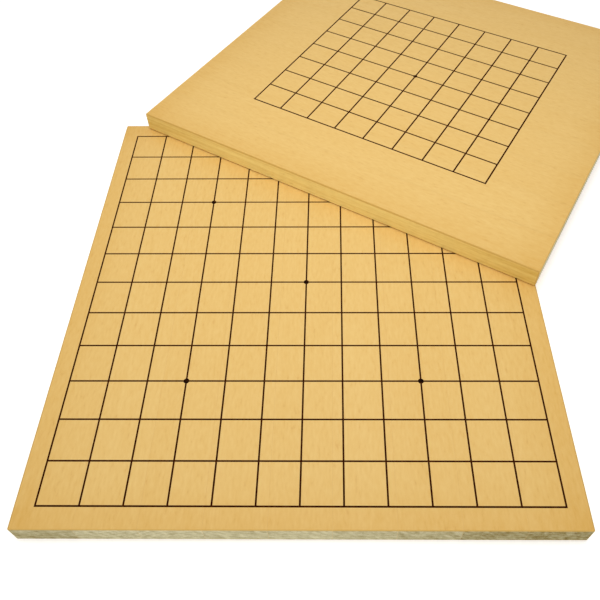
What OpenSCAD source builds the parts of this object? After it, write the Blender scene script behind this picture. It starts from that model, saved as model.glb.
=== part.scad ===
// Two reversible go boards, the upper one lying turned across the back of the lower one.
// Each board is a panel of solid wood staves glued edge to edge, with a large inked grid on its
// first face and a small inked grid on its second. The lower board has its large grid up, and the
// upper board is turned over, so its small grid is up.
// The origin is the middle of the lower board's underside: +Z is up and +Y runs along its length.

/* [Grid] */
// Distance between neighbouring lines across a board
pitch_x = 22; // [18:0.1:26]
// Distance between neighbouring lines along a board
pitch_y = 23.7; // [18:0.1:28]
// Lines each way in the large grid
large_lines = 13; // [11:2:19]
// Lines each way in the small grid
small_lines = 9; // [5:2:11]
// Line of the large grid, counted in from its edge, that holds the outer star points
star_line = 4; // [3:1:5]

/* [Ink] */
// Width of a grid line
line_w = 1; // [0.4:0.1:1.6]
// Diameter of a star point
star_d = 3; // [2:0.1:6]
// Depth that the ink is let into the wood, flush with the face
ink_depth = 0.15; // [0.1:0.05:0.5]
// How far the large grid is printed from the middle of its face, across a board
large_shift_x = -0.4; // [-3:0.1:3]
// How far the large grid is printed from the middle of its face, along a board
large_shift_y = -0.7; // [-3:0.1:3]
// How far the small grid is printed from the middle of its face, across a board
small_shift_x = 1.3; // [-3:0.1:3]
// How far the small grid is printed from the middle of its face, along a board
small_shift_y = 1.6; // [-3:0.1:3]

/* [Board] */
// Bare wood between a centred large grid's outer line and a board's side
margin_x = 11.2; // [6:0.1:40]
// Bare wood between a centred large grid's outer line and a board's end
margin_y = 12.5; // [6:0.1:40]
// Thickness of a board
board_t = 14; // [8:0.5:30]
// Radius of the eased edges and corners
edge_r = 1; // [0.3:0.1:2]

/* [Staves] */
// Number of staves in a board
stave_count = 9; // [3:1:12]
// Thickness of the glue between two staves
glue_t = 0.1; // [0.1:0.05:0.5]

/* [Upper board] */
// Distance of the upper board's front left corner from the lower board's left side
corner_in_x = 17.8; // [5:0.1:60]
// Distance of the upper board's front left corner from the lower board's back end
corner_in_y = 3.6; // [1:0.1:60]
// Angle between the upper board's front side and the lower board's front end
upper_turn = 30.15; // [5:0.05:60]

/* [Hidden] */
// Colours of the wood, the glue and the ink
wood_colour = [0.93, 0.77, 0.46];
glue_colour = [0.72, 0.55, 0.30];
ink_colour = [0.06, 0.04, 0.03];

// Segments of a full circle
$fn = 48;

// Whole numbers of lines in the two grids, and of staves in a board
large_count = floor(large_lines);
small_count = floor(small_lines);
staves = floor(stave_count);

// Outline of a board
board_w = (large_count - 1) * pitch_x + 2 * margin_x;
board_l = (large_count - 1) * pitch_y + 2 * margin_y;

// Distance from one stave to the next
stave_step = (board_w + glue_t) / staves;
// Fraction of a millimetre that the seams lie on, so that a stave and its glue meet exactly
seam_grid = 0.01;

// Length by which a cutting shape runs past the face that it cuts
cut_past = 1;

// Line at the middle of a grid, or next to it where the number of lines is even
function middle_line(lines) = floor((lines + 1) / 2);

// Star points of a grid, as pairs of line numbers from its front left corner
large_star_lines = [star_line, large_count + 1 - star_line];
large_star_places = concat(
    [for (i = large_star_lines) for (j = large_star_lines) [i, j]],
    [[middle_line(large_count), middle_line(large_count)]]);
small_star_places = [[middle_line(small_count), middle_line(small_count)]];

// Place of a numbered line, measured from the middle of a grid of that many lines
function line_place(line, lines, pitch) = (line - (lines + 1) / 2) * pitch;

// Place of a numbered seam's left side, measured from the middle of the panel
function seam_place(seam) =
    round((seam * stave_step - glue_t - board_w / 2) / seam_grid) * seam_grid;

// Names of the pieces
PIECES = concat(
    [for (i = [1 : staves]) str("stave_", i)],
    ["glue_lines", "large_grid", "large_stars", "small_grid", "small_star"]);

// A rectangle with eased corners, about the origin
module eased_rectangle(width, height) {
    square([width - 2 * edge_r, height], center = true);
    square([width, height - 2 * edge_r], center = true);
    for (x = [-1, 1], y = [-1, 1])
        translate([x * (width / 2 - edge_r), y * (height / 2 - edge_r)])
            circle(r = edge_r);
}

// The whole panel with every edge and corner eased, standing on its second face
module panel_blank() {
    translate([0, 0, board_t / 2])
        intersection() {
            rotate([90, 0, 0])
                linear_extrude(board_l, center = true) eased_rectangle(board_w, board_t);
            rotate([90, 0, 90])
                linear_extrude(board_w, center = true) eased_rectangle(board_l, board_t);
            linear_extrude(board_t, center = true) eased_rectangle(board_w, board_l);
        }
}

// The lines of a grid, drawn flat, with square ends
module line_pattern(lines) {
    across = (lines - 1) * pitch_x + line_w;
    along = (lines - 1) * pitch_y + line_w;
    for (i = [1 : lines]) {
        translate([line_place(i, lines, pitch_x), 0]) square([line_w, along], center = true);
        translate([0, line_place(i, lines, pitch_y)]) square([across, line_w], center = true);
    }
}

// The star points of a grid, drawn flat
module star_pattern(places, lines) {
    for (place = places)
        translate([line_place(place[0], lines, pitch_x), line_place(place[1], lines, pitch_y)])
            circle(d = star_d);
}

// The large grid's lines and its star points, where they are printed on the first face
module large_lines_print() {
    translate([large_shift_x, large_shift_y]) line_pattern(large_count);
}
module large_stars_print() {
    translate([large_shift_x, large_shift_y]) star_pattern(large_star_places, large_count);
}

// The small grid's lines and its star point, where they are printed on the second face
module small_lines_print() {
    translate([small_shift_x, small_shift_y]) line_pattern(small_count);
}
module small_star_print() {
    translate([small_shift_x, small_shift_y]) star_pattern(small_star_places, small_count);
}

// What the ink takes out of the wood on both faces
module ink_recesses() {
    translate([0, 0, board_t - ink_depth])
        linear_extrude(ink_depth + cut_past) {
            large_lines_print();
            large_stars_print();
        }
    translate([0, 0, -cut_past])
        linear_extrude(ink_depth + cut_past) {
            small_lines_print();
            small_star_print();
        }
}

// A strip of the panel from one x to another, recessed for the ink
module panel_strip(from_x, to_x) {
    difference() {
        intersection() {
            panel_blank();
            translate([from_x, -board_l / 2 - cut_past, -cut_past])
                cube([to_x - from_x, board_l + 2 * cut_past, board_t + 2 * cut_past]);
        }
        ink_recesses();
    }
}

// One stave, counted from the panel's left side
module stave(number) {
    from_x = number == 1 ? -board_w / 2 : seam_place(number - 1) + glue_t;
    to_x = number == staves ? board_w / 2 : seam_place(number);
    color(wood_colour) panel_strip(from_x, to_x);
}

// The films of glue between the staves
module glue_lines() {
    color(glue_colour)
        for (seam = [1 : staves - 1])
            panel_strip(seam_place(seam), seam_place(seam) + glue_t);
}

// The ink lines of the large grid, on the first face
module large_grid() {
    color(ink_colour)
        translate([0, 0, board_t - ink_depth])
            linear_extrude(ink_depth)
                difference() {
                    large_lines_print();
                    large_stars_print();
                }
}

// The ink dots of the large grid, on the first face
module large_stars() {
    color(ink_colour)
        translate([0, 0, board_t - ink_depth])
            linear_extrude(ink_depth) large_stars_print();
}

// The ink lines of the small grid, on the second face
module small_grid() {
    color(ink_colour)
        linear_extrude(ink_depth)
            difference() {
                small_lines_print();
                small_star_print();
            }
}

// The ink dot of the small grid, on the second face
module small_star() {
    color(ink_colour)
        linear_extrude(ink_depth) small_star_print();
}

// Places a piece in the upper board: turned over, its long side to the front, its front left
// corner near the lower board's back left corner, and lying on the lower board
module upper() {
    translate([corner_in_x - board_w / 2, board_l / 2 - corner_in_y, 2 * board_t])
        rotate(-upper_turn)
            translate([board_l / 2, board_w / 2, 0])
                rotate([180, 0, 90]) children();
}

for (number = [1 : staves]) {
    stave(number);
    upper() stave(number);
}
glue_lines();  // lower_glue_lines
large_grid();  // lower_large_grid
large_stars();  // lower_large_stars
small_grid();  // lower_small_grid
small_star();  // lower_small_star
upper() glue_lines();  // upper_glue_lines
upper() large_grid();  // upper_large_grid
upper() large_stars();  // upper_large_stars
upper() small_grid();  // upper_small_grid
upper() small_star();  // upper_small_star
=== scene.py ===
"""Dresses two reversible go boards in wood, glue and ink, and sets them in a plain white studio.

Each board is a panel of staves glued edge to edge, with a large printed grid on its first face and a
small one on its second. The upper board lies turned over across the back of the lower one.
"""

import logging
import math
from dataclasses import dataclass, field
from enum import Enum

import bpy
import numpy as np
from mathutils import Matrix, Vector

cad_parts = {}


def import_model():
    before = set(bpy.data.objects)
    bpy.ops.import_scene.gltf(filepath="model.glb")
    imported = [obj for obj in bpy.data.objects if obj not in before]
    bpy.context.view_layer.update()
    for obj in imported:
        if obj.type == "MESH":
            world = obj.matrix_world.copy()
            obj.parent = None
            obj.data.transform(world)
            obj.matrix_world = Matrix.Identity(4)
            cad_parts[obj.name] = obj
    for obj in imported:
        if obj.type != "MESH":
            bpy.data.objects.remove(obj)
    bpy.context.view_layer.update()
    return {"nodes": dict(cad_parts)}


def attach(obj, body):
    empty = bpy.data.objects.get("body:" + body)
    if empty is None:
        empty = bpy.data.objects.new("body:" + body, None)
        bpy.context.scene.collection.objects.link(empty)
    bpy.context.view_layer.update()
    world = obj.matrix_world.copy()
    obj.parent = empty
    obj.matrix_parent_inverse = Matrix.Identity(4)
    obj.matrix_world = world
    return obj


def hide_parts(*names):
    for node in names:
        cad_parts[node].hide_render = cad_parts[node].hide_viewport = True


LOG = logging.getLogger("go_boards")

MM = 0.001
WHITE = "#FFFFFF"

# Average of the noise that draws marks
NOISE_AVERAGE = 0.5
# Share of a relief's depth that shows
RELIEF_STRENGTH = 0.3

# Sockets of a Mix node that is set to colours, and of one that is set to plain values
MIX_SHARE, MIX_A, MIX_B, MIX_RESULT = 0, 6, 7, 2
MIX_VALUE_A, MIX_VALUE_B = 2, 3

Inputs = dict[str | int, object]
Material = bpy.types.Material
Nodes = dict[str, bpy.types.Object]
Socket = bpy.types.NodeSocket
Tree = bpy.types.NodeTree


class BoardName(Enum):
    """The two boards, named as their nodes begin."""

    LOWER = "lower"
    UPPER = "upper"


class GridName(Enum):
    """The two printed grids of a board, named as their nodes are."""

    LARGE = "large"
    SMALL = "small"


class LampKind(Enum):
    """The kinds of lamp in the studio."""

    SOFTBOX = "AREA"
    SPOT = "SPOT"


def linear(hex_colour: str) -> tuple[float, float, float, float]:
    """Turns an sRGB hex colour into linear light, by the curve of the sRGB standard.

    Args:
        hex_colour: Colour in the form "#RRGGBB".

    Returns:
        Linear red, green and blue, and an alpha of 1.
    """
    srgb = np.array([int(hex_colour[i:i + 2], 16) for i in (1, 3, 5)]) / 255
    light = np.where(srgb <= 0.04045, srgb / 12.92, ((srgb + 0.055) / 1.055) ** 2.4)
    return (*light.tolist(), 1.0)


def add_node(
    tree: Tree, kind: str, inputs: Inputs | None = None, **settings: str | bool
) -> bpy.types.Node:
    """Adds a node with its settings, and fills or links its inputs.

    Args:
        tree: Node tree that takes the node.
        kind: Type name of the node.
        inputs: A value or an output socket for each input, by the input's name or number.
        **settings: Properties of the node.

    Returns:
        The new node.
    """
    node = tree.nodes.new(kind)
    for name, value in settings.items():
        setattr(node, name, value)
    for key, value in (inputs or {}).items():
        if isinstance(value, Socket):
            tree.links.new(value, node.inputs[key])
        else:
            node.inputs[key].default_value = value
    return node


def painted(tree: Tree, name: str) -> Socket:
    """Reads a value that a surface carries at each of its points, by the value's name."""
    return add_node(tree, "ShaderNodeAttribute", attribute_name=name).outputs["Fac"]


def calculate(tree: Tree, operation: str, *values: Socket | float) -> Socket:
    """Works out one plain value from others, by a named operation."""
    inputs = dict(enumerate(values))
    return add_node(tree, "ShaderNodeMath", inputs, operation=operation).outputs["Value"]


def remap(
    tree: Tree,
    value: Socket,
    source: tuple[float, float] = (0.0, 1.0),
    target: tuple[float, float] = (0.0, 1.0),
    smooth: bool = False,
) -> Socket:
    """Carries a value from one range to another, and keeps it inside that.

    Args:
        tree: Node tree that takes the node.
        value: Value to carry.
        source: Range that it comes from.
        target: Range that it goes to.
        smooth: Whether it eases in and out at the ends.

    Returns:
        The value in the new range.
    """
    names = ("Value", "From Min", "From Max", "To Min", "To Max")
    inputs = dict(zip(names, (value, *source, *target)))
    curve = "SMOOTHSTEP" if smooth else "LINEAR"
    return add_node(tree, "ShaderNodeMapRange", inputs, interpolation_type=curve).outputs["Result"]


def blend(
    tree: Tree, share: Socket, first: Socket | str, second: Socket | str, clamp: bool = True
) -> Socket:
    """Mixes two colours.

    Args:
        tree: Node tree that takes the node.
        share: Share of the second colour.
        first: First colour, as an output socket or a hex colour.
        second: Second colour, given in the same way.
        clamp: Whether the share is kept between 0 and 1.

    Returns:
        The mixed colour.
    """
    colours = [linear(colour) if isinstance(colour, str) else colour for colour in (first, second)]
    return add_node(
        tree,
        "ShaderNodeMix",
        {MIX_SHARE: share, MIX_A: colours[0], MIX_B: colours[1]},
        data_type="RGBA",
        clamp_factor=clamp,
    ).outputs[MIX_RESULT]


def noise(tree: Tree, place: Socket, size: float, detail: float) -> Socket:
    """Draws noise, about a half on average, with marks of a size in the place's own unit."""
    inputs = {"Vector": place, "Scale": 1 / size, "Detail": detail}
    return add_node(tree, "ShaderNodeTexNoise", inputs).outputs["Fac"]


def add_marks(tree: Tree, start: Socket, *parts: tuple[Socket, Socket | float]) -> Socket:
    """Adds marks to a value, each kind about its own average.

    Args:
        tree: Node tree that takes the nodes.
        start: Value that the marks are added to.
        *parts: The marks and their gain, for each kind.

    Returns:
        The sum.
    """
    total = start
    for marks, gain in parts:
        centred = calculate(tree, "SUBTRACT", marks, NOISE_AVERAGE)
        total = calculate(tree, "MULTIPLY_ADD", centred, gain, total)
    return total


def emboss(tree: Tree, relief: Socket, depth: float) -> Socket:
    """Turns a relief from 0 to 1, of a given depth, into a bumpy direction of the surface."""
    inputs = {"Height": relief, "Strength": RELIEF_STRENGTH, "Distance": depth}
    return add_node(tree, "ShaderNodeBump", inputs).outputs["Normal"]


def new_material(name: str) -> tuple[Material, Tree]:
    """Makes a material with an empty node tree.

    Args:
        name: Name of the material.

    Returns:
        The material and its node tree.
    """
    material = bpy.data.materials.new(name)
    material.use_nodes = True
    material.node_tree.nodes.clear()
    return material, material.node_tree


def shade(tree: Tree, inputs: Inputs) -> None:
    """Ends a material's tree with a shader, whose inputs are given by name, and its output."""
    shader = add_node(tree, "ShaderNodeBsdfPrincipled", inputs)
    add_node(tree, "ShaderNodeOutputMaterial", {"Surface": shader.outputs["BSDF"]})


@dataclass(frozen=True)
class Marks:
    """One kind of mark in the wood.

    Attributes:
        size: Size of a mark across the stave, along the grain and through the stave, in millimetres.
        detail: Octaves of finer noise on top.
        lean: Turn of the marks about the grain, in degrees.
    """

    size: tuple[float, float, float]
    detail: float
    lean: float = 0.0

    def draw(self, tree: Tree, log: Socket) -> Socket:
        """Draws the marks as noise in the log.

        Args:
            tree: Node tree of the wood.
            log: Place in the log, in millimetres.

        Returns:
            The noise, about a half on average.
        """
        # The place is counted in marks, so a mark has a size of 1 there
        placed = add_node(
            tree,
            "ShaderNodeMapping",
            {"Vector": log, "Rotation": (0.0, math.radians(self.lean), 0.0), "Scale": self.size},
            vector_type="TEXTURE",
        ).outputs["Vector"]
        return noise(tree, placed, 1.0, self.detail)


@dataclass(frozen=True)
class LacqueredSoftwood:
    """Pale even softwood, planed, sanded and sprayed with a thin matt lacquer.

    The eye gets a warm honey face that is nearly plain, with short faint flecks along the grain, soft
    bands on the long sides, browner eased edges, and a duller, greener, mottled end grain. A gain says
    how much a kind of mark deepens the colour.
    """

    face_pale: str = "#ECC678"
    face_deep: str = "#DFB15A"
    # Painted light: the long sides get a paler, less orange copy of the face colours, which stands in
    # for the whiter light that falls on the upright sides
    lit_side_pale: str = "#F8DE8B"
    lit_side_deep: str = "#E5C56E"
    dash: str = "#C4904A"
    edge: str = "#C79B43"
    end_pale: str = "#C6BC92"
    end_deep: str = "#89783C"

    cloud: Marks = Marks((30.0, 140.0, 30.0), 3.0)
    cloud_gain: float = 0.3
    # Flecks are finer than this on the wood, and are drawn as coarse as they need to show
    fleck: Marks = Marks((1.4, 5.0, 1.4), 2.0)
    fleck_gain: float = 0.9
    # The strongest flecks end as fine brown dashes
    dash_from: tuple[float, float] = (0.62, 0.85)
    dash_share: float = 0.3
    # A long side is cut along the rays, and shows the streaks as soft bands
    streak: Marks = Marks((2.4, 130.0, 2.4), 4.0)
    streak_gain_face: float = 0.12
    streak_gain_side: float = 2.4
    # The long sides are deeper towards their ends
    side_end_depth: float = 0.9

    # Bands, mottle and pores show in the end grain
    band: Marks = Marks((6.0, 40.0, 2.2), 2.0, 50.0)
    band_gain: float = 1.4
    mottle: Marks = Marks((3.2, 3.2, 3.2), 3.0)
    mottle_gain: float = 1.2
    pore: Marks = Marks((0.55, 0.55, 0.55), 1.0)
    pore_gain: float = 0.9

    ring_mm: float = 3.4
    ring_drift: Marks = Marks((18.0, 240.0, 18.0), 2.0)
    # Late wood begins and is full at these shares of a growth ring
    late_wood: tuple[float, float] = (0.35, 0.9)
    ring_gain_face: float = 0.06
    ring_gain_end: float = 0.2

    # The lacquer fills the face and sinks into the end grain, which stays rougher
    roughness_face: float = 0.56
    roughness_end: float = 0.72
    streak_roughness: float = 0.15
    relief_depth: float = 0.02 * MM
    refraction: float = 1.5

    def rings(self, tree: Tree, log: Socket) -> Socket:
        """Draws the late wood of the growth rings.

        The distance from the pith, shifted a little by slow noise, is counted in rings, and each ring
        darkens over its outer half and ends sharply.

        Args:
            tree: Node tree of the wood.
            log: Place in the log, in millimetres.

        Returns:
            0 in early wood and 1 in late wood.
        """
        flat = add_node(
            tree, "ShaderNodeVectorMath", {0: log, 1: (1.0, 0.0, 1.0)}, operation="MULTIPLY"
        ).outputs["Vector"]
        radius = add_node(tree, "ShaderNodeVectorMath", {0: flat}, operation="LENGTH").outputs["Value"]
        drift = self.ring_drift.draw(tree, log)
        count = calculate(tree, "MULTIPLY_ADD", radius, 1 / self.ring_mm, drift)
        share = calculate(tree, "FRACT", count)
        rise = remap(tree, share, self.late_wood, smooth=True)
        fall = remap(tree, share, (self.late_wood[1], 1.0), (1.0, 0.0), smooth=True)
        return calculate(tree, "MULTIPLY", rise, fall)

    def face(self, tree: Tree, log: Socket, ring: Socket, streak: Socket) -> Socket:
        """Mixes the colour of faces and long sides.

        A long side deepens with the square of the distance from its middle.

        Args:
            tree: Node tree of the wood.
            log: Place in the log, in millimetres.
            ring: Late wood of the growth rings.
            streak: Long soft streaks along the grain.

        Returns:
            The colour.
        """
        side, along = painted(tree, "long_side"), painted(tree, "along_board")
        towards_ends = calculate(tree, "MULTIPLY", calculate(tree, "MULTIPLY", along, along), side)
        tone = calculate(tree, "MULTIPLY_ADD", towards_ends, self.side_end_depth, painted(tree, "face_tone"))
        fleck = self.fleck.draw(tree, log)
        depth = add_marks(
            tree,
            tone,
            (self.cloud.draw(tree, log), self.cloud_gain),
            (ring, self.ring_gain_face),
            (fleck, self.fleck_gain),
            (streak, remap(tree, side, target=(self.streak_gain_face, self.streak_gain_side))),
        )
        flat = blend(tree, depth, self.face_pale, self.face_deep, clamp=False)
        # Painted light: the upright long sides take the paler copy of the face colours
        upright = blend(tree, depth, self.lit_side_pale, self.lit_side_deep, clamp=False)
        dashes = remap(tree, fleck, self.dash_from, (0.0, self.dash_share), smooth=True)
        return blend(tree, dashes, blend(tree, side, flat, upright), self.dash)

    def butt(self, tree: Tree, log: Socket, ring: Socket, pore: Socket) -> Socket:
        """Mixes the colour of the end grain.

        Args:
            tree: Node tree of the wood.
            log: Place in the log, in millimetres.
            ring: Late wood of the growth rings.
            pore: Dots of the cut fibres.

        Returns:
            The colour.
        """
        depth = add_marks(
            tree,
            painted(tree, "end_tone"),
            (self.band.draw(tree, log), self.band_gain),
            (self.mottle.draw(tree, log), self.mottle_gain),
            (pore, self.pore_gain),
            (ring, self.ring_gain_end),
        )
        return blend(tree, depth, self.end_pale, self.end_deep, clamp=False)

    def material(self) -> Material:
        """Builds the wood from a stave's place in its log, its end grain, its sides and its tones.

        Returns:
            The material.
        """
        material, tree = new_material("lacquered_pale_softwood")
        log = add_node(tree, "ShaderNodeAttribute", attribute_name="log_place").outputs["Vector"]
        end = painted(tree, "end_grain")
        ring = self.rings(tree, log)
        streak, pore = self.streak.draw(tree, log), self.pore.draw(tree, log)
        colour = blend(tree, end, self.face(tree, log, ring, streak), self.butt(tree, log, ring, pore))
        # Eased edges are browner than the face
        colour = blend(tree, painted(tree, "eased_edge"), colour, self.edge)

        rough = remap(tree, end, target=(self.roughness_face, self.roughness_end))
        relief = add_node(
            tree,
            "ShaderNodeMix",
            {MIX_SHARE: end, MIX_VALUE_A: streak, MIX_VALUE_B: pore},
            data_type="FLOAT",
        ).outputs["Result"]
        shade(
            tree,
            {
                "Base Color": colour,
                "Roughness": add_marks(tree, rough, (streak, self.streak_roughness)),
                "Normal": emboss(tree, relief, self.relief_depth),
                "IOR": self.refraction,
            },
        )
        return material


@dataclass(frozen=True)
class HardGlue:
    """Hardened wood glue in a planed joint: a hairline a little darker and smoother than the wood."""

    pale: str = "#E2BA6C"
    deep: str = "#CDA058"
    cloud_mm: float = 3.0
    cloud_detail: float = 2.0
    roughness: tuple[float, float] = (0.3, 0.5)
    refraction: float = 1.47

    def material(self) -> Material:
        """Builds an amber film that is cloudy where it took up dust from the sanding.

        Returns:
            The material.
        """
        material, tree = new_material("hard_wood_glue")
        place = add_node(tree, "ShaderNodeTexCoord").outputs["Object"]
        cloud = noise(tree, place, self.cloud_mm * MM, self.cloud_detail)
        shade(
            tree,
            {
                "Base Color": blend(tree, cloud, self.pale, self.deep),
                "Roughness": remap(tree, cloud, target=self.roughness),
                "IOR": self.refraction,
            },
        )
        return material


@dataclass(frozen=True)
class ScreenInk:
    """Black-brown screen ink, printed on the wood: a thin matt film with a little uneven density.

    The eye gets nearly black star points, where much ink lies, and dark brown lines of thinner ink.
    """

    heavy: str = "#0C0300"
    dense: str = "#300E00"
    thin: str = "#4E2400"
    blotch_mm: float = 1.6
    blotch_detail: float = 3.0
    # Ink begins to thin and is thinnest at these values of the blotches
    thin_from: tuple[float, float] = (0.4, 0.8)
    grit_mm: float = 0.3
    grit_detail: float = 1.0
    relief_depth: float = 0.01 * MM
    roughness: tuple[float, float] = (0.65, 0.9)
    refraction: float = 1.45
    gloss: float = 0.04

    def material(self) -> Material:
        """Builds the ink from how much of it lies there, blotches of density and the screen's grit.

        Returns:
            The material.
        """
        material, tree = new_material("matt_screen_ink")
        place = add_node(tree, "ShaderNodeTexCoord").outputs["Object"]
        blotch = noise(tree, place, self.blotch_mm * MM, self.blotch_detail)
        grit = noise(tree, place, self.grit_mm * MM, self.grit_detail)
        body = blend(tree, painted(tree, "heavy_ink"), self.dense, self.heavy)
        thinness = remap(tree, blotch, self.thin_from, smooth=True)
        shade(
            tree,
            {
                "Base Color": blend(tree, thinness, body, self.thin),
                "Roughness": remap(tree, grit, target=self.roughness),
                "Normal": emboss(tree, grit, self.relief_depth),
                "IOR": self.refraction,
                "Specular IOR Level": self.gloss,
            },
        )
        return material


@dataclass
class Surface:
    """A surface as whole arrays, in a board's own frame or in the row frame.

    Attributes:
        points: Place of each vertex, one row each.
        quads: Four vertex numbers of each face, one row each.
        caps: Vertex numbers of each flat end, in order round it.
        normals: Outward direction at each vertex, or None where each face is flat.
        paint: Values that the material reads, one for each vertex, by name.
    """

    points: np.ndarray
    quads: np.ndarray
    caps: list[np.ndarray] = field(default_factory=list)
    normals: np.ndarray | None = None
    paint: dict[str, np.ndarray] = field(default_factory=dict)

    def corner_normals(self) -> np.ndarray:
        """Lists the outward direction at each face's corners, with one direction all over each cap.

        Returns:
            Directions of the quads' corners and then of the caps' corners, one row each.
        """
        sides = [self.normals[self.quads.ravel()]]
        for cap in self.caps:
            first, second, third = self.points[cap[[0, len(cap) // 3, 2 * len(cap) // 3]]]
            outward = np.cross(second - first, third - first)
            sides.append(np.tile(outward / np.linalg.norm(outward), (len(cap), 1)))
        return np.concatenate(sides)

    def to_object(self, name: str) -> bpy.types.Object:
        """Puts the surface into a new mesh object at the origin.

        Args:
            name: Name of the object.

        Returns:
            The object, linked to the scene.
        """
        mesh = bpy.data.meshes.new(name)
        faces = self.quads.tolist() + [cap.tolist() for cap in self.caps]
        mesh.from_pydata(self.points.tolist(), [], faces, shade_flat=self.normals is None)
        for label, values in self.paint.items():
            kind, slot = ("FLOAT_VECTOR", "vector") if values.ndim == 2 else ("FLOAT", "value")
            attribute = mesh.attributes.new(label, kind, "POINT")
            attribute.data.foreach_set(slot, values.astype(np.float32).ravel())
        if self.normals is not None:
            mesh.normals_split_custom_set(self.corner_normals().tolist())
        mesh.update()
        piece = bpy.data.objects.new(name, mesh)
        bpy.context.scene.collection.objects.link(piece)
        return piece


def join(surfaces: list[Surface]) -> Surface:
    """Puts separate surfaces into one, which has no paint yet.

    Args:
        surfaces: Surfaces that all have normals or all have none.

    Returns:
        One surface with the parts one after another.
    """
    starts = np.cumsum([0] + [len(part.points) for part in surfaces[:-1]])
    smooth = surfaces[0].normals is not None
    return Surface(
        points=np.concatenate([part.points for part in surfaces]),
        quads=np.concatenate([part.quads + start for part, start in zip(surfaces, starts)]),
        caps=[cap + start for part, start in zip(surfaces, starts) for cap in part.caps],
        normals=np.concatenate([part.normals for part in surfaces]) if smooth else None,
    )


def film(across: np.ndarray, along: np.ndarray, height: np.ndarray, inked: np.ndarray) -> Surface:
    """Makes a closed film of ink over a grid of places on a flat face.

    The film stands as high above the face as it reaches below it, so its two sheets meet where the
    height is 0, which is all round its outline.

    Args:
        across: Place of each grid point across the face.
        along: Place of each grid point along the face.
        height: Height of the film at each grid point.
        inked: Whether each cell of the grid has ink.

    Returns:
        The film, with the face at a height of 0.
    """
    count = height.size
    upper = np.arange(count).reshape(height.shape)
    raised = height > 0
    lower = upper.copy()
    lower[raised] = count + np.arange(raised.sum())
    points = np.stack([across, along, height], axis=-1)
    points = np.concatenate([points.reshape(-1, 3), points[raised] * (1, 1, -1)])
    rings = [
        np.stack([sheet[:-1, :-1], sheet[:-1, 1:], sheet[1:, 1:], sheet[1:, :-1]], axis=-1)[inked]
        for sheet in (upper, lower)
    ]
    return Surface(points=points, quads=np.concatenate([rings[0], rings[1][:, ::-1]]))


@dataclass(frozen=True)
class BoardPlace:
    """Where a board lies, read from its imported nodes.

    Attributes:
        name: Which board it is.
        middle: Middle of the board.
        axes: Directions across the staves, along them, and out of the large grid's face, as rows.
        size: Width across the staves, length along them, and thickness.
        seams: Lowest and highest place of each stave across the board, one row each.
    """

    name: BoardName
    middle: np.ndarray
    axes: np.ndarray
    size: np.ndarray
    seams: np.ndarray

    @classmethod
    def read(cls, nodes: Nodes, name: BoardName, stave_count: int) -> "BoardPlace":
        """Finds a board's axes and sizes from its staves, and its way up from its large grid.

        Args:
            nodes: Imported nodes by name.
            name: Which board to read.
            stave_count: Number of its staves.

        Returns:
            The place of the board.
        """
        staves = [cls.vertices(nodes[f"{name.value}_stave_{i + 1}"]) for i in range(stave_count)]
        centres = [(points.min(axis=0) + points.max(axis=0)) / 2 for points in staves]
        across = centres[-1] - centres[0]
        across /= np.linalg.norm(across)
        grid_height = cls.vertices(nodes[f"{name.value}_large_grid"])[:, 2].mean()
        out = np.array([0.0, 0.0, math.copysign(1.0, grid_height - centres[0][2])])
        axes = np.stack([across, np.cross(out, across), out])
        local = [points @ axes.T for points in staves]
        lowest = np.min([points.min(axis=0) for points in local], axis=0)
        highest = np.max([points.max(axis=0) for points in local], axis=0)
        middle = (lowest + highest) / 2
        seams = np.array([(points[:, 0].min(), points[:, 0].max()) for points in local]) - middle[0]
        return cls(name, middle @ axes, axes, highest - lowest, seams)

    @staticmethod
    def vertices(node: bpy.types.Object) -> np.ndarray:
        """Reads a node's vertices.

        Args:
            node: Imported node.

        Returns:
            Place of each vertex, one row each.
        """
        flat = np.empty(3 * len(node.data.vertices))
        node.data.vertices.foreach_get("co", flat)
        return flat.reshape(-1, 3)

    def span(self, node: bpy.types.Object) -> np.ndarray:
        """Lists a node's lowest and highest place along each of the board's axes, one row each."""
        local = (self.vertices(node) - self.middle) @ self.axes.T
        return np.stack([local.min(axis=0), local.max(axis=0)])

    def hand_over(self, surface: Surface, node: str, kind: str, finish: Material, slot: str) -> None:
        """Lays a surface where the board lies, as the piece that stands for one of the board's nodes.

        Args:
            surface: Surface about the middle of the board.
            node: Name of the node after the board's own name.
            kind: Word that ends the piece's name.
            finish: Material of the piece.
            slot: Not used.
        """
        surface.points = self.middle + surface.points @ self.axes
        if surface.normals is not None:
            surface.normals = surface.normals @ self.axes
        stands_for = f"{self.name.value}_{node}"
        piece = surface.to_object(f"{stands_for}_{kind}")
        piece.data.materials.append(finish)
        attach(piece, f"{self.name.value}_board")
        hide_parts(stands_for)
        LOG.info("%s: %d faces", piece.name, len(piece.data.polygons))


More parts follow.
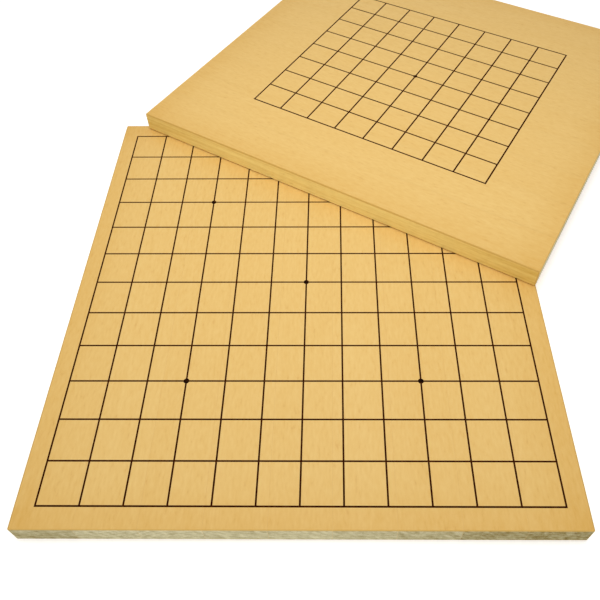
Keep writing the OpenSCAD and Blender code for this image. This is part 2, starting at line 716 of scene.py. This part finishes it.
@dataclass
class StavePanel:
    """The staves of a board and the glue between them.

    Attributes:
        place: Where the board lies.
        seed: Seed of the draws that set each stave's log and the drift of the sanding.
        tone: Depth of the faces' colour, from 0 for the palest wood to 1 for the deepest.
        end_tones: Depth of the end grain's colour in each stave, from 0 for pale to 1 for deep.
        edge_radius: Radius of the eased edges and corners.
        edge_room: Room that straight runs leave for an eased edge, as a multiple of its radius.
        sanding_drift: Share by which that radius drifts, because edges are eased by hand.
        drift_length: Shortest length of the drift along an edge.
        drift_waves: Number of waves that make up the drift.
        arc_steps: Faces round a quarter of an eased edge.
        sample_step: Distance between sections of a stave, and between points along its section.
        least_points: Fewest points on a straight run of a section.
        least_sections: Fewest sections across a stave or a glue line.
        glue_sink: Depth by which the glue has shrunk below the wood.
        pith_across: Furthest the pith lies to the side of a stave's middle, in millimetres.
        pith_depth: Least and greatest depth of the pith above or below the board, in millimetres.
        grain_slope: Furthest the grain runs out of a stave's line, as a slope.
        log_length: Length of the logs that the staves are cut from, in millimetres.
        tone_spread: Furthest a stave's face lies from the board's tone.
        edge_shade_depth: Painted shade: deeper tone on the faces beside the board's edges, deepest in
            the corners.
        edge_shade_reach: Distance from an edge over which that painted shade fades.
        end_cut: How squarely the surface faces along the board where end grain begins to show, and
            where nothing else shows, as the cosine of the angle.
        side_brown_turn: How far the surface turns from a face before a long side's edge is fully brown,
            as one less the cosine of the turn.
        end_brown_turn: The same for the edges of the ends.
    """

    place: BoardPlace
    seed: int
    tone: float
    end_tones: tuple[float, ...]
    edge_radius: float = 1.0 * MM
    edge_room: float = 1.5
    sanding_drift: float = 0.1
    drift_length: float = 26.0 * MM
    drift_waves: int = 6
    arc_steps: int = 8
    sample_step: float = 4.0 * MM
    least_points: int = 4
    least_sections: int = 2
    glue_sink: float = 0.03 * MM
    pith_across: float = 40.0
    pith_depth: tuple[float, float] = (25.0, 90.0)
    grain_slope: float = 0.012
    log_length: float = 2000.0
    tone_spread: float = 0.03
    # Painted shade on the faces beside the board's edges, deepest in the corners
    edge_shade_depth: float = 0.37
    edge_shade_reach: float = 16.0 * MM
    end_cut: tuple[float, float] = (0.75, 0.98)
    side_brown_turn: float = 0.035
    end_brown_turn: float = 0.29

    def __post_init__(self) -> None:
        """Starts the board's own draws, and sets the waves of its sanding drift."""
        self.draw = np.random.default_rng(self.seed)
        turns = self.draw.uniform(-1, 1, (self.drift_waves, 3))
        self.waves = turns * math.tau / self.drift_length
        self.phases = self.draw.uniform(0, math.tau, self.drift_waves)

    def section(self, half: np.ndarray) -> tuple[np.ndarray, np.ndarray, np.ndarray]:
        """Goes once round a stave's long section, from the far end over the top.

        Four quarter arcs of the outward angle follow one another, with a straight run after each.

        Args:
            half: Half sizes of the panel across, along and through.

        Returns:
            Outward angle of each point, the faces that it lies by along and through the board as 1 or
            -1, and its place where that is 0 because it lies on a straight run.
        """
        quarter = np.linspace(0, math.pi / 2, self.arc_steps + 1)
        angles, sides, places = [], [], []
        for corner, side in enumerate(((1, 1), (-1, 1), (-1, -1), (1, -1))):
            upright = corner % 2
            reach = half[1 + upright] - self.edge_room * self.edge_radius
            steps = max(self.least_points, round(2 * reach / self.sample_step))
            run_side, run_place = np.tile(side, (steps, 1)), np.zeros((steps, 2))
            run_side[:, upright] = 0
            run_place[:, upright] = np.linspace(reach, -reach, steps) * side[upright]
            angles += [corner * math.pi / 2 + quarter, np.full(steps, (corner + 1) * math.pi / 2)]
            sides += [np.tile(side, (quarter.size, 1)), run_side]
            places += [np.zeros((quarter.size, 2)), run_place]
        return np.concatenate(angles), np.concatenate(sides), np.concatenate(places)

    def stations(self, from_x: float, to_x: float) -> tuple[np.ndarray, np.ndarray, np.ndarray]:
        """Lists where sections stand across the board, with an arc of them at the board's own sides.

        Args:
            from_x: Lowest place of the stave across the board.
            to_x: Highest place of the stave across the board.

        Returns:
            Lean of each section's outward direction to the side, the side of the board that it lies by
            as 1 or -1, and its place across where that is 0.
        """
        inner = self.place.size[0] / 2 - self.edge_room * self.edge_radius
        low, high = max(from_x, -inner), min(to_x, inner)
        steps = max(self.least_sections, round((high - low) / self.sample_step))
        arc = self.arc_steps + 1
        left, right = arc * (from_x < -inner), arc * (to_x > inner)
        quarter = np.linspace(0, math.pi / 2, arc)
        lean = np.concatenate([-quarter[::-1][:left], np.zeros(steps), quarter[:right]])
        side = np.repeat((-1, 0, 1), (left, steps, right))
        place = np.concatenate([np.zeros(left), np.linspace(low, high, steps), np.zeros(right)])
        return lean, side, place

    def strip(self, from_x: float, to_x: float, sink: float = 0.0) -> Surface:
        """Makes the part of the panel between two places across it.

        A section leans to the side by an angle a and points outward round itself by an angle b, so the
        outward direction is (sin a, cos a cos b, cos a sin b). Along each axis on which a point lies by
        a face, it is drawn in from that face by the edge radius times one less that direction's share.

        Args:
            from_x: Lowest place across the board.
            to_x: Highest place across the board.
            sink: Depth by which the strip lies below the panel's faces.

        Returns:
            A closed strip about the middle of the board.
        """
        half = self.place.size / 2 - (0, sink, sink)
        angle, section_side, section_place = self.section(half)
        lean, station_side, station_place = self.stations(from_x, to_x)
        grid = (lean.size, angle.size)
        outward = np.empty((*grid, 3))
        outward[..., 0] = np.sin(lean)[:, None]
        outward[..., 1] = np.cos(lean)[:, None] * np.cos(angle)
        outward[..., 2] = np.cos(lean)[:, None] * np.sin(angle)
        side, place = np.empty((*grid, 3)), np.empty((*grid, 3))
        side[..., 0], place[..., 0] = station_side[:, None], station_place[:, None]
        side[..., 1:], place[..., 1:] = section_side, section_place
        radius = self.edge_radius * (1 + self.drift(side * half + place))
        points = side * (half - radius[..., None] * (1 - np.abs(outward))) + place

        number = np.arange(lean.size * angle.size).reshape(grid)
        turned = np.roll(number, -1, axis=1)
        quads = np.stack([number[:-1], turned[:-1], turned[1:], number[1:]], axis=-1)
        return Surface(
            points=points.reshape(-1, 3),
            quads=quads.reshape(-1, 4),
            caps=[number[0, ::-1], number[-1]],
            normals=outward.reshape(-1, 3),
        )

    def drift(self, places: np.ndarray) -> np.ndarray:
        """Averages a few waves over the panel, as the share by which the edge radius drifts."""
        waves = np.sin(places @ self.waves.T + self.phases)
        return self.sanding_drift * waves.mean(axis=-1)

    def paint(self, surface: Surface, number: int) -> None:
        """Gives each point of a stave its place in the log, and how the grain is cut there.

        The log's pith runs along the stave, to the side of it and above or below it, on a slight slope.
        The grain is cut across where the surface faces along the board, and an edge is eased the more
        the further the surface turns from the board's axes. Beside the board's edges the faces' tone is
        deeper, as painted shade, by a bell curve of the distance from each edge, so it is deepest in
        the corners.

        Args:
            surface: Stave about the middle of the board.
            number: Number of the stave from 0. In odd ones the pith lies above and not below.
        """
        pith_x = self.draw.uniform(-self.pith_across, self.pith_across)
        pith_z = self.draw.uniform(*self.pith_depth) * (1 if number % 2 else -1)
        slope_x, slope_z = self.draw.uniform(-self.grain_slope, self.grain_slope, 2)
        start = self.draw.uniform(0, self.log_length)
        tone = self.tone + self.draw.uniform(-self.tone_spread, self.tone_spread)
        x, y, z = (surface.points - (self.place.seams[number].mean(), 0, 0)).T / MM
        log_place = (x - pith_x + slope_x * y, y + start, z - pith_z + slope_z * y)
        facing = np.abs(surface.normals)
        to_edges = self.place.size[:2] / 2 - np.abs(surface.points[:, :2])
        # Painted shade: the faces deepen beside the board's edges, most in the corners
        edge_shade = np.exp(-((to_edges / self.edge_shade_reach) ** 2)).sum(axis=1) * facing[:, 2] ** 2
        brown_turn = np.where(facing[:, 0] > facing[:, 1], self.side_brown_turn, self.end_brown_turn)
        cut_from, cut_full = self.end_cut
        surface.paint = {
            "log_place": np.stack(log_place, axis=-1),
            "end_grain": np.clip((facing[:, 1] - cut_from) / (cut_full - cut_from), 0, 1),
            "long_side": facing[:, 0] ** 2,
            "along_board": 2 * surface.points[:, 1] / self.place.size[1],
            "eased_edge": np.clip((1 - facing.max(axis=1)) / brown_turn, 0, 1),
            # The faces' tone, with the painted shade beside the edges
            "face_tone": tone + self.edge_shade_depth * edge_shade,
            "end_tone": np.full(x.size, self.end_tones[number]),
        }

    def build(self, wood: Material, glue: Material) -> None:
        """Makes the staves and the glue between them.

        Args:
            wood: Finish of the staves.
            glue: Finish of the glue.
        """
        for number, (low, high) in enumerate(self.place.seams):
            stave = self.strip(low, high)
            self.paint(stave, number)
            self.place.hand_over(stave, f"stave_{number + 1}", "wood", wood, "wood")
        films = [
            self.strip(low, high, self.glue_sink)
            for low, high in zip(self.place.seams[:-1, 1], self.place.seams[1:, 0])
        ]
        self.place.hand_over(join(films), "glue_lines", "film", glue, "glue")


@dataclass
class PrintedGrid:
    """One printed grid of a board, with its star points.

    Attributes:
        place: Where the board lies.
        name: Which of the board's grids it is.
        lines: Number of lines each way.
        line_width: Width of a line as it was packed.
        spread: Width by which the wet ink of a line has spread on the face.
        star_width: Width of a star point, whose ink has spread as well.
        star_line: Line from the edge that holds the outer star points, or None where there are none.
        line_height: Height of the ink of a line above the face.
        star_height: Height of the ink in the middle of a star point.
        shoulder: Share of a line's half width at which its ink begins to fall to the face.
        star_cells: Cells across the grid that a star point is made from.
    """

    place: BoardPlace
    name: GridName
    lines: int
    line_width: float = 1.0 * MM
    spread: float = 0.0
    star_width: float = 3.3 * MM
    star_line: int | None = None
    line_height: float = 0.03 * MM
    star_height: float = 0.04 * MM
    shoulder: float = 0.7
    star_cells: int = 14

    @property
    def node(self) -> str:
        """Name of the lines' node, after the board's name."""
        return f"{self.name.value}_grid"

    @property
    def star_node(self) -> str:
        """Name of the star points' node, after the board's name."""
        return f"{self.name.value}_star" + ("s" if self.star_line else "")

    def line_places(self, span: np.ndarray) -> tuple[np.ndarray, np.ndarray]:
        """Spaces the lines evenly each way over the grid's span, less half a line at each edge."""
        first, last = span[0] + self.line_width / 2, span[1] - self.line_width / 2
        return np.linspace(first[0], last[0], self.lines), np.linspace(first[1], last[1], self.lines)

    def lattice(self, x_lines: np.ndarray, y_lines: np.ndarray) -> Surface:
        """Makes all the lines of the grid as one film.

        Each line has its two edges and its two shoulders as places across it. The ink is as high as the
        higher of the two lines that a place lies on: full between the shoulders and 0 at the edges, and
        0 round the outside of the grid.

        Args:
            x_lines: Places of the lines across the board.
            y_lines: Places of the lines along the board.

        Returns:
            The lines, with the face at a height of 0.
        """
        steps = np.array([-1, -self.shoulder, self.shoulder, 1])
        offsets = steps * (self.line_width + self.spread) / 2
        x, y = ((lines[:, None] + offsets).ravel() for lines in (x_lines, y_lines))
        full = np.tile(np.abs(steps) < 1, self.lines)
        inside = np.ones(full.size, dtype=bool)
        inside[[0, -1]] = False
        raised = (full[None, :] & inside[:, None]) | (full[:, None] & inside[None, :])
        on_line = np.arange(full.size - 1) % steps.size != steps.size - 1
        inked = on_line[None, :] | on_line[:, None]
        across, along = np.meshgrid(x, y)
        return film(across, along, self.line_height * raised, inked)

    def star(self, across: float, along: float) -> Surface:
        """Makes one star point as a low dome.

        A square grid (a, b) becomes a disc as (a sqrt(1 - b b / 2), b sqrt(1 - a a / 2)), and the ink
        stands on it by the square root of one less the square of the distance from the middle.

        Args:
            across: Place of the point across the board.
            along: Place of the point along the board.

        Returns:
            The dot, with the face at a height of 0.
        """
        a, b = np.meshgrid(*[np.linspace(-1, 1, self.star_cells + 1)] * 2)
        x, y = a * np.sqrt(1 - b * b / 2), b * np.sqrt(1 - a * a / 2)
        rim = np.maximum(np.abs(a), np.abs(b)) >= 1
        height = np.where(rim, 0, self.star_height * np.sqrt(np.clip(1 - x * x - y * y, 0, 1)))
        half = self.star_width / 2
        inked = np.ones((self.star_cells,) * 2, dtype=bool)
        return film(across + half * x, along + half * y, height, inked)

    def star_crossings(self) -> list[tuple[int, int]]:
        """Lists the crossings that hold a star point: the middle one, and four outer ones if any.

        Returns:
            Numbers from 0 of the lines that cross there.
        """
        middle = self.lines // 2
        crossings = [(middle, middle)]
        if self.star_line:
            outer = (self.star_line - 1, self.lines - self.star_line)
            crossings += [(i, j) for i in outer for j in outer]
        return crossings

    def build(self, nodes: Nodes, ink: Material) -> None:
        """Makes the lines, and the star points with their heavier ink.

        Args:
            nodes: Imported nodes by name.
            ink: Finish of the grid.
        """
        x, y = self.line_places(self.place.span(nodes[f"{self.place.name.value}_{self.node}"]))
        dots = join([self.star(x[i], y[j]) for i, j in self.star_crossings()])
        # The large grid lies on the board's first face, and the small one on its second
        side = 1 if self.name is GridName.LARGE else -1
        for marks, node, heavy in ((self.lattice(x, y), self.node, 0.0), (dots, self.star_node, 1.0)):
            marks.points = marks.points + (0, 0, side * self.place.size[2] / 2)
            marks.paint = {"heavy_ink": np.full(len(marks.points), heavy)}
            self.place.hand_over(marks, node, "ink", ink, "ink")


@dataclass
class Board:
    """One reversible board: its panel of staves and the grid on each of its faces.

    Attributes:
        name: Which board it is.
        seed: Seed of its wood.
        end_tones: Depth of the end grain's colour in each of its staves, from 0 to 1.
        tone: Depth of its faces' colour, from 0 to 1.
        large_lines: Lines each way in its large grid.
        small_lines: Lines each way in its small grid.
        star_line: Line of the large grid that holds the outer star points.
        small_spread: Width by which the ink of the small grid's lines has spread.
    """

    name: BoardName
    seed: int
    end_tones: tuple[float, ...]
    tone: float = 0.5
    large_lines: int = 13
    small_lines: int = 9
    star_line: int = 4
    small_spread: float = 0.15 * MM

    def build(self, nodes: Nodes, wood: Material, glue: Material, ink: Material) -> None:
        """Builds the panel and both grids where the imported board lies.

        Args:
            nodes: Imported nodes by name.
            wood: Finish of the staves.
            glue: Finish of the glue.
            ink: Finish of the grids.
        """
        place = BoardPlace.read(nodes, self.name, len(self.end_tones))
        LOG.info("%s board: %s mm", self.name.value, np.round(place.size / MM, 2).tolist())
        StavePanel(place, self.seed, self.tone, self.end_tones).build(wood, glue)
        for grid in (
            PrintedGrid(place, GridName.LARGE, self.large_lines, star_line=self.star_line),
            PrintedGrid(place, GridName.SMALL, self.small_lines, spread=self.small_spread),
        ):
            grid.build(nodes, ink)


def seen_rays(tree: Tree) -> Socket:
    """Tells rays that the eye follows from rays that light the boards.

    Args:
        tree: Node tree of the floor or the world.

    Returns:
        1 for rays from the camera, from gloss and through glass, and 0 for others.
    """
    path = add_node(tree, "ShaderNodeLightPath").outputs
    gloss = calculate(tree, "MAXIMUM", path["Is Glossy Ray"], path["Is Transmission Ray"])
    return calculate(tree, "MAXIMUM", path["Is Camera Ray"], gloss)


@dataclass(frozen=True)
class PaperFloor:
    """White paper under the boards, which the camera sees as white and which keeps a faint shadow.

    Attributes:
        paper: Colour of the paper.
        roughness: Roughness of the paper.
        glow: Light that the paper adds for the eye, so that it is white all over.
        half_width: Half of the paper's width.
        gap: Depth of the paper below the lower board, which stands on the ink of its underside.
    """

    paper: str = "#F2F2F0"
    roughness: float = 0.9
    glow: float = 0.42
    half_width: float = 4.0
    gap: float = 0.05 * MM

    def material(self) -> Material:
        """Builds matt paper that glows a little for rays from the camera and from gloss.

        Returns:
            The material.
        """
        material, tree = new_material("white_paper")
        shade(
            tree,
            {
                "Base Color": linear(self.paper),
                "Roughness": self.roughness,
                "Emission Color": linear(WHITE),
                "Emission Strength": calculate(tree, "MULTIPLY", seen_rays(tree), self.glow),
            },
        )
        return material

    def build(self) -> None:
        """Lays the paper flat under the boards."""
        outline = np.array([(-1, -1), (1, -1), (1, 1), (-1, 1)]) * self.half_width
        sheet = Surface(np.c_[outline, np.full(4, -self.gap)], np.array([[0, 1, 2, 3]]))
        floor = sheet.to_object("floor")
        floor.data.materials.append(self.material())


@dataclass(frozen=True)
class Lamp:
    """A soft studio lamp.

    Attributes:
        name: Name of the lamp.
        kind: Whether it lights all round its front or in a cone.
        place: Where it hangs.
        target: Point that it faces.
        width: Width of the surface that shines.
        watts: Power of the lamp.
        cone: Angle of a spot's cone, in degrees, over which its light fades from middle to edge.
    """

    name: str
    kind: LampKind
    place: tuple[float, float, float]
    target: tuple[float, float, float]
    width: float
    watts: float
    cone: float = 0.0

    def build(self) -> None:
        """Hangs the lamp and turns it to its target."""
        lamp = bpy.data.lights.new(self.name, self.kind.value)
        lamp.energy = self.watts
        if self.kind is LampKind.SPOT:
            lamp.shadow_soft_size = self.width / 2
            lamp.spot_size = math.radians(self.cone)
            lamp.spot_blend = 1.0
        else:
            lamp.size = self.width
        holder = bpy.data.objects.new(self.name, lamp)
        aim = Vector(self.target) - Vector(self.place)
        turn = aim.to_track_quat("-Z", "Y").to_matrix().to_4x4()
        holder.matrix_world = Matrix.Translation(self.place) @ turn
        holder.visible_camera = False
        bpy.context.scene.collection.objects.link(holder)
        LOG.info("%s: %.1f W", self.name, self.watts)


@dataclass(frozen=True)
class Studio:
    """Plain white surroundings, a soft spot overhead and a weak softbox in front.

    Attributes:
        fill: Strength of the white surroundings as a light.
        overhead: Lamp above the boards, brightest near the middle of the picture.
        front: Lamp in front of the boards.
    """

    fill: float = 0.73
    overhead: Lamp = Lamp(
        "overhead_spot",
        LampKind.SPOT,
        place=(0.012, 0.068, 1.5),
        target=(0.012, 0.068, 0.0),
        width=0.4,
        watts=30.2,
        cone=29.5,
    )
    front: Lamp = Lamp(
        "front_softbox",
        LampKind.SOFTBOX,
        place=(0.0, -1.3, 0.2),
        target=(0.0, 0.05, 0.02),
        width=1.0,
        watts=3.3,
    )

    def build(self) -> None:
        """Sets the white world, the two lamps and the paper floor."""
        world = bpy.data.worlds.new("white_studio")
        world.use_nodes = True
        tree = world.node_tree
        tree.nodes.clear()
        strength = remap(tree, seen_rays(tree), target=(self.fill, 1.0))
        surround = add_node(
            tree, "ShaderNodeBackground", {"Color": linear(WHITE), "Strength": strength}
        )
        add_node(tree, "ShaderNodeOutputWorld", {"Surface": surround.outputs["Background"]})
        bpy.context.scene.world = world
        self.overhead.build()
        self.front.build()
        PaperFloor().build()
        bpy.context.scene.view_settings.view_transform = "Standard"


@dataclass(frozen=True)
class PhotoCamera:
    """The camera at the photograph's viewpoint.

    Attributes:
        eye: Place of the lens.
        look_down: Angle below the horizon, in degrees.
        turn_left: Angle to the left of the lower board's length, in degrees.
        roll: Turn about the line of sight, in degrees.
        sensor_width: Width of the sensor, in millimetres.
        lens: Focal length in millimetres for that width.
        shift: Shift of the frame across and up, as a share of its width.
        clip_start: Nearest distance that the camera sees.
    """

    eye: tuple[float, float, float] = (0.015425, -0.262063, 0.343126)
    look_down: float = 51.293
    turn_left: float = 0.840
    roll: float = -0.6955
    sensor_width: float = 36.0
    lens: float = 40.09
    shift: tuple[float, float] = (-0.04231, -0.03474)
    clip_start: float = 0.01

    def build(self) -> None:
        """Places the camera and makes it the scene's own."""
        data = bpy.data.cameras.new("photo_camera")
        data.sensor_width = self.sensor_width
        data.lens = self.lens
        data.shift_x, data.shift_y = self.shift
        data.clip_start = self.clip_start
        turn = (
            Matrix.Rotation(math.radians(self.turn_left), 4, "Z")
            @ Matrix.Rotation(math.radians(90 - self.look_down), 4, "X")
            @ Matrix.Rotation(math.radians(self.roll), 4, "Z")
        )
        camera = bpy.data.objects.new("photo_camera", data)
        camera.matrix_world = Matrix.Translation(self.eye) @ turn
        bpy.context.scene.collection.objects.link(camera)
        bpy.context.scene.camera = camera


def main() -> None:
    """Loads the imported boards, dresses them, and sets the studio and the camera."""
    logging.basicConfig(level=logging.INFO, format="%(message)s")
    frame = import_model()

    PhotoCamera().build()
    wood = LacqueredSoftwood().material()
    glue = HardGlue().material()
    ink = ScreenInk().material()
    lower_ends = (0.56, 0.14, 0.1, 0.15, 0.1, 0.27, 0.44, 0.79, 0.88)
    upper_ends = (0.1, 0.25, 0.2, 0.05, 0.3, 0.15, 0.1, 0.35, 0.2)
    for board in (
        Board(BoardName.LOWER, seed=13, end_tones=lower_ends),
        Board(BoardName.UPPER, seed=9, end_tones=upper_ends),
    ):
        board.build(frame["nodes"], wood, glue, ink)
    Studio().build()


if __name__ == "__main__":
    main()
